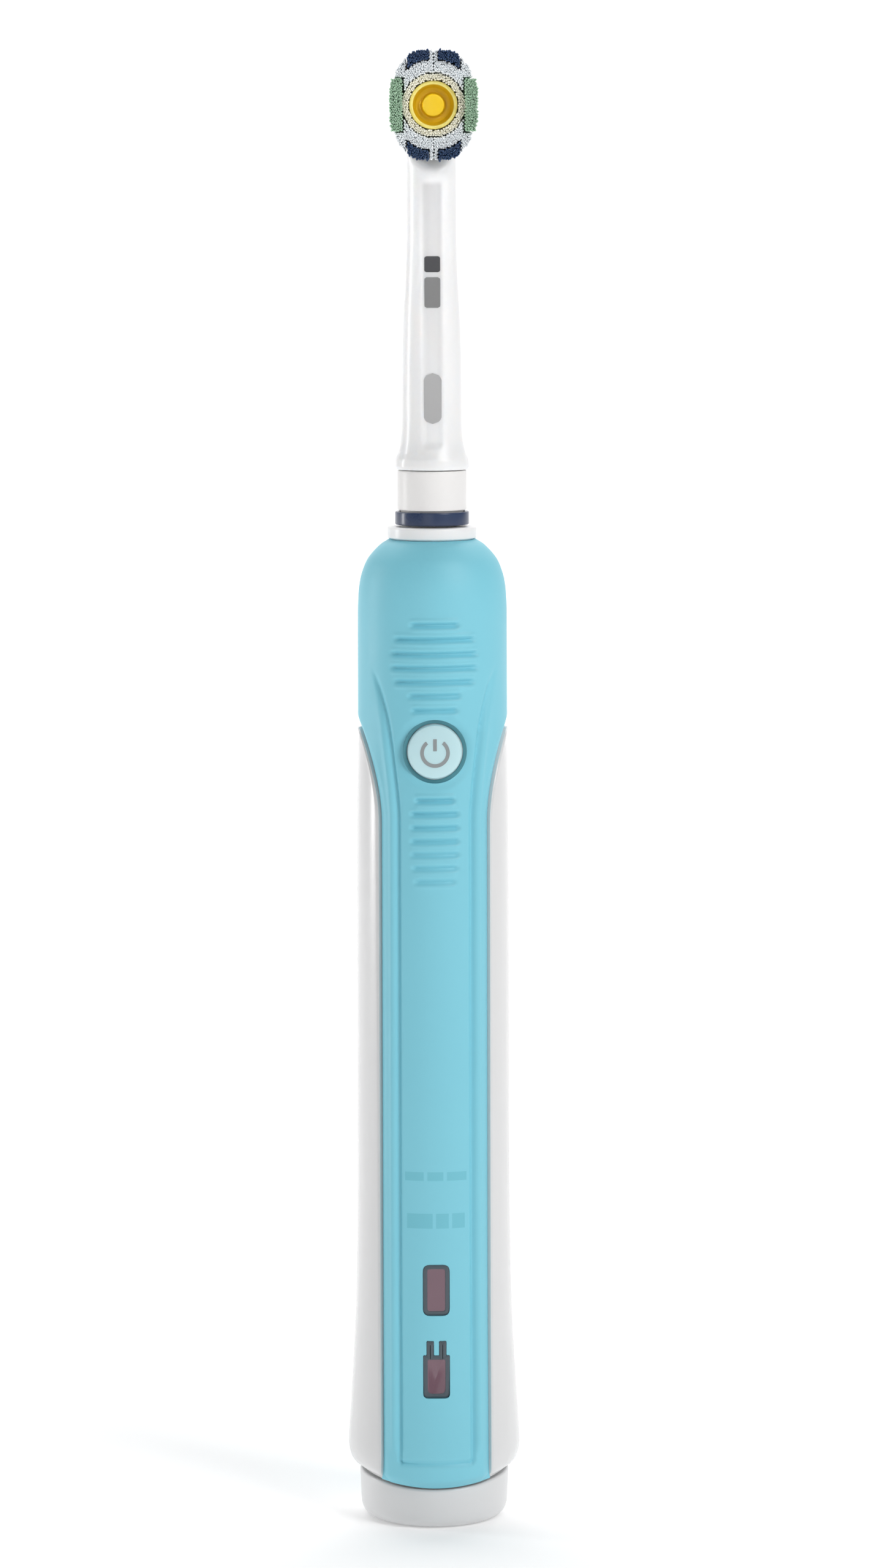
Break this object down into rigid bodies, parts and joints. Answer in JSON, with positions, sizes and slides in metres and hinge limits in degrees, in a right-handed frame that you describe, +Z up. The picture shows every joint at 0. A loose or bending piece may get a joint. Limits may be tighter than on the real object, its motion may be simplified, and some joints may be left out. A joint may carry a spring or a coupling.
{
  "type": "electric toothbrush",
  "caption": "Rechargeable electric toothbrush with a soft-grip handle, press button, charge lights and a pull-off head whose round brush swings to and fro.",
  "frame": {"origin": "centre of the underside of the bottom cap, on the handle's axis", "axes": "+Z up along the handle, -Y towards the button and the bristles, +X to the brush's left as seen from behind"},
  "size_m": [0.0278, 0.0278, 0.236],
  "materials": {
    "white": "satin white polypropylene",
    "blue_skin": "soft-touch, matt",
    "navy": "smooth",
    "steel": "ground",
    "dark_steel": "laminated and varnished",
    "brass": "turned",
    "copper": "enamelled wire",
    "nickel": "nickel strip",
    "pale_button": "satin, translucent",
    "grey_plastic": "moulded",
    "acetal": "moulded",
    "dark_plastic": "moulded",
    "light_guide": "smoked, polished",
    "rubber": "matt",
    "battery_sleeve": "shrink sleeve over the can",
    "board": "solder mask",
    "ferrite": "sintered",
    "led": "clear",
    "lead_red": "insulated wire",
    "yellow_rubber": "soft, satin",
    "bristle_blue": "nylon filament",
    "bristle_green": "nylon filament",
    "bristle_white": "nylon filament"
  },
  "bodies": {
    "handle": {"housing_shell": "white", "grip_overmould": "blue_skin", "battery_window": "light_guide", "plug_window": "light_guide", "coil_bobbin": "grey_plastic", "receiver_coil": "copper", "chassis_frame": "grey_plastic", "battery_cell": "battery_sleeve", "battery_tab_plus": "nickel", "battery_tab_minus": "nickel", "main_pcb": "board", "tact_switch": "dark_plastic", "charge_led": "led", "low_battery_led": "led", "controller_chip": "dark_plastic", "capacitor": "dark_plastic", "coil_lead_left": "copper", "coil_lead_right": "copper", "motor_lead_left": "lead_red", "motor_lead_right": "lead_red", "motor_can": "steel", "motor_endcap": "dark_plastic", "motor_magnet_left": "ferrite", "motor_magnet_right": "ferrite", "gear_axle": "steel", "gearbox_bracket": "grey_plastic", "bracket_screw_left": "steel", "bracket_screw_right": "steel", "lower_bearing": "brass", "upper_bearing": "brass", "shaft_seal": "rubber"},
    "button": {"power_button": "pale_button", "switch_plunger": "dark_plastic"},
    "cap": {"bottom_cap": "white", "cap_o_ring": "rubber"},
    "rotor": {"motor_armature": "dark_steel", "motor_pinion": "brass"},
    "gear": {"crank_gear": "acetal", "crank_pin": "steel"},
    "shaft": {"drive_shaft": "steel", "rocker_arm": "acetal"},
    "brush_head": {"head_shell": "white", "neck_base": "white", "id_ring": "navy", "disc_axle_pin": "steel"},
    "link": {"drive_link": "acetal", "link_pin": "steel"},
    "disc": {"bristle_disc": "white", "polishing_cup": "yellow_rubber", "tuft_ring": "bristle_white", "tuft_blue_1": "bristle_blue", "tuft_blue_2": "bristle_blue", "tuft_blue_3": "bristle_blue", "tuft_blue_4": "bristle_blue", "tuft_green_1": "bristle_green", "tuft_green_2": "bristle_green", "tuft_white_1": "bristle_white", "tuft_white_2": "bristle_white", "tuft_white_3": "bristle_white", "tuft_white_4": "bristle_white"}
  },
  "joints": [
    {"name": "head_pull", "type": "slide", "parent": "handle", "child": "brush_head", "axis": [0, 0, 1], "range_m": [0, 0.03]},
    {"name": "cap_pull", "type": "slide", "parent": "handle", "child": "cap", "axis": [0, 0, -1], "range_m": [0, 0.02]},
    {"name": "button_press", "type": "slide", "parent": "handle", "child": "button", "axis": [0, 1, 0], "range_m": [0, 0.0005], "stiffness_N_per_m": 1500, "springref_m": -0.0002},
    {"name": "shaft_swing", "type": "hinge", "parent": "handle", "child": "shaft", "pos_m": [0, 0, 0.15], "axis": [0, 0, 1], "range_deg": [-21.6, 21.6]},
    {"name": "link_swing", "type": "hinge", "parent": "brush_head", "child": "link", "pos_m": [0, 0, 0.19], "axis": [0, 0, 1], "range_deg": [-21.6, 21.6]},
    {"name": "disc_swing", "type": "hinge", "parent": "brush_head", "child": "disc", "pos_m": [0, 0, 0.2271], "axis": [0, -1, 0], "range_deg": [-20.3, 20.3]},
    {"name": "motor_spin", "type": "hinge", "parent": "handle", "child": "rotor", "pos_m": [-0.00165, 0, 0.0872], "axis": [0, 0, 1], "continuous": true},
    {"name": "gear_spin", "type": "hinge", "parent": "handle", "child": "gear", "pos_m": [0.0038, 0, 0.1029], "axis": [0, 0, 1], "continuous": true}
  ],
  "couplings": [
    {"joint": "link_swing", "follows": "shaft_swing", "ratio": 1},
    {"joint": "disc_swing", "follows": "shaft_swing", "ratio": 0.936},
    {"joint": "gear_spin", "follows": "motor_spin", "ratio": -0.5}
  ]
}
